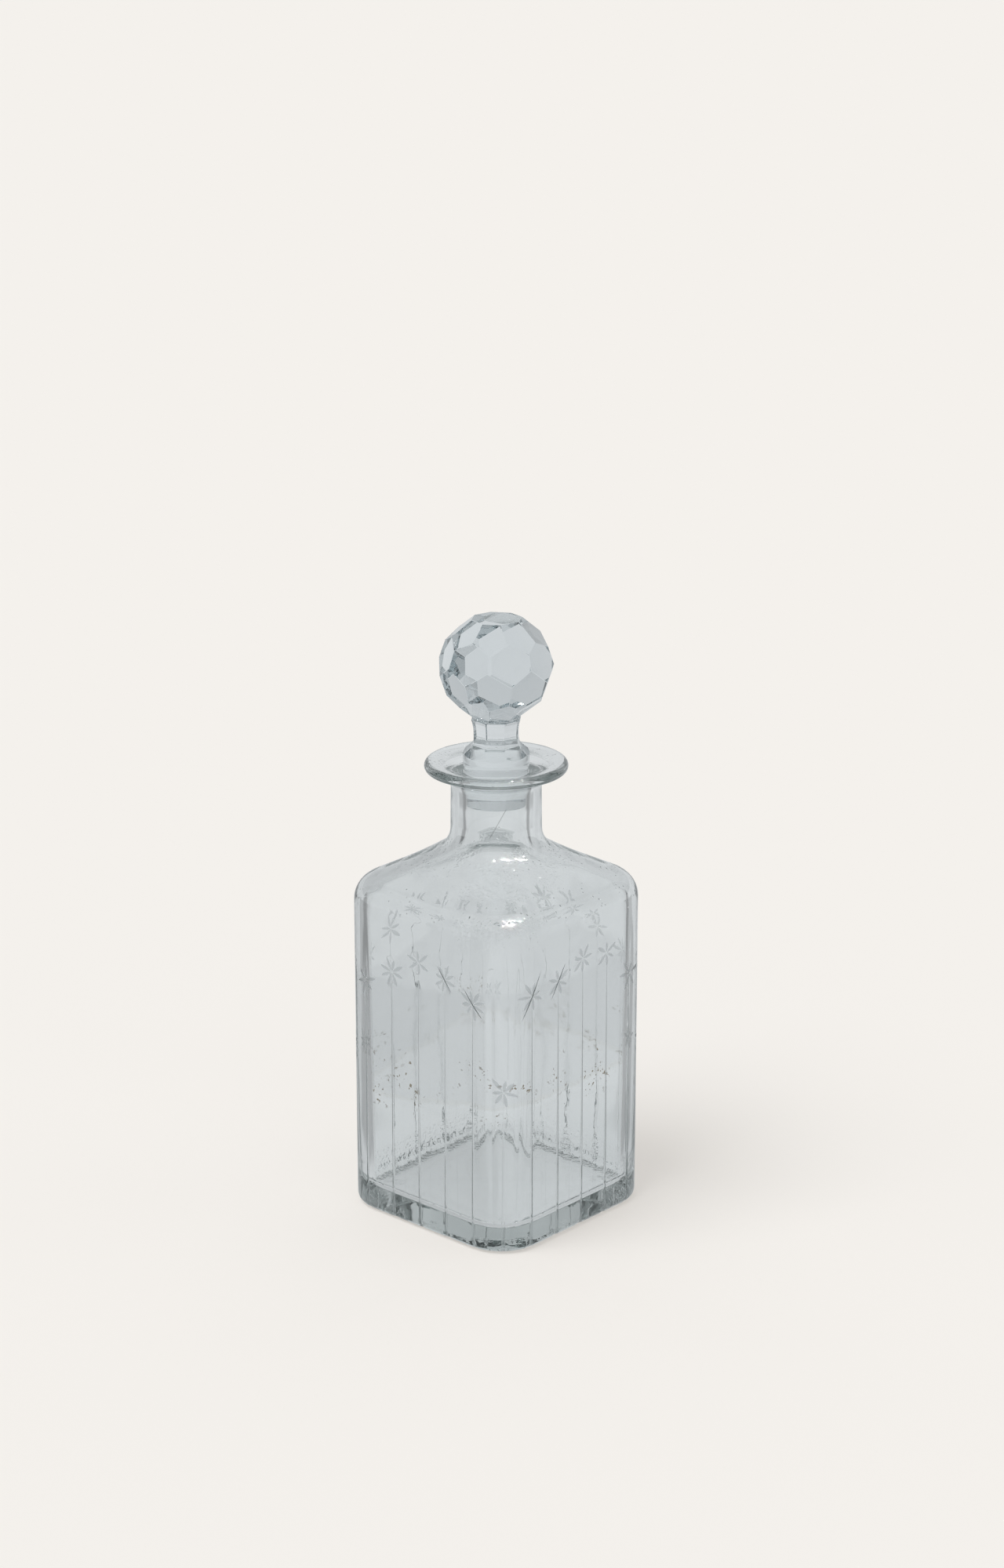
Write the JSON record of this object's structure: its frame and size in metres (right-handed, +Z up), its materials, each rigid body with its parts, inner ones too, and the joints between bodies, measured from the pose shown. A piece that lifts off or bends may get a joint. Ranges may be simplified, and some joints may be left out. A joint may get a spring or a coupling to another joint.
{
  "type": "square cut glass spirit decanter with ball stopper",
  "caption": "Square clear glass decanter with sloping shoulders, a flared lip, cut star and stem decoration, and a lift-out faceted ball stopper.",
  "frame": {"origin": "middle of the base, on the surface that the bottle stands on", "axes": "+Z up along the bottle's axis; the four flat faces look along +X, -X, +Y and -Y"},
  "size_m": [0.092, 0.092, 0.2474],
  "materials": {
    "bottle_glass": "polished clear glass with a faint grey-green tint and matt cut grooves",
    "stopper_glass": "polished clear glass, facet cut, with a matt ground plug"
  },
  "bodies": {
    "bottle": {"bottle": "bottle_glass"},
    "stopper": {"stopper": "stopper_glass"}
  },
  "joints": [
    {"name": "stopper_lift", "type": "slide", "parent": "bottle", "child": "stopper", "axis": [0, 0, 1], "range_m": [0, 0.06]}
  ]
}
